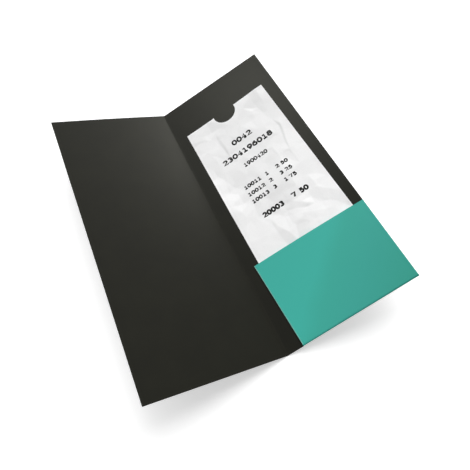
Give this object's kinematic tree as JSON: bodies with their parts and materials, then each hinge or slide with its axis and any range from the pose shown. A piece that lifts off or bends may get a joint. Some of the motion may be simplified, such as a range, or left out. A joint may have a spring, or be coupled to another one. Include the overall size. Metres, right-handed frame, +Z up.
{
  "type": "guest check presenter",
  "caption": "Creased card folder, half open on its fold, with a glued pocket across the foot of one cover and a loose paper slip standing in it.",
  "frame": {"origin": "on the table under the middle of the crease, which is the bottom centre of the bounding box", "axes": "+Y along the crease towards the head of the folder, +X towards the free edge of the cover that carries the pocket, +Z up"},
  "size_m": [0.1854, 0.245, 0.037],
  "materials": {
    "charcoal_card": "matt laminated",
    "teal_card": "matt laminated",
    "adhesive": "dull",
    "slip_paper": "matt, creased"
  },
  "bodies": {
    "holder": {"back_cover": "charcoal_card", "spine_fold": "charcoal_card", "pocket_front": "teal_card", "pocket_bottom_fold": "teal_card", "pocket_inner_fold": "teal_card", "pocket_outer_fold": "teal_card", "inner_glue_tab": "teal_card", "outer_glue_tab": "teal_card", "inner_glue_strip": "adhesive", "outer_glue_strip": "adhesive"},
    "cover": {"front_cover": "charcoal_card"},
    "slip": {"check_slip": "slip_paper"}
  },
  "joints": [
    {"name": "cover_hinge", "type": "hinge", "parent": "holder", "child": "cover", "pos_m": [0, 0, 0.00045], "axis": [0, 1, 0], "range_deg": [-41.6, 127.4]},
    {"name": "slip_slide", "type": "slide", "parent": "holder", "child": "slip", "axis": [-0.0179, 0.9998, -0.0068], "range_m": [0, 0.245]}
  ]
}
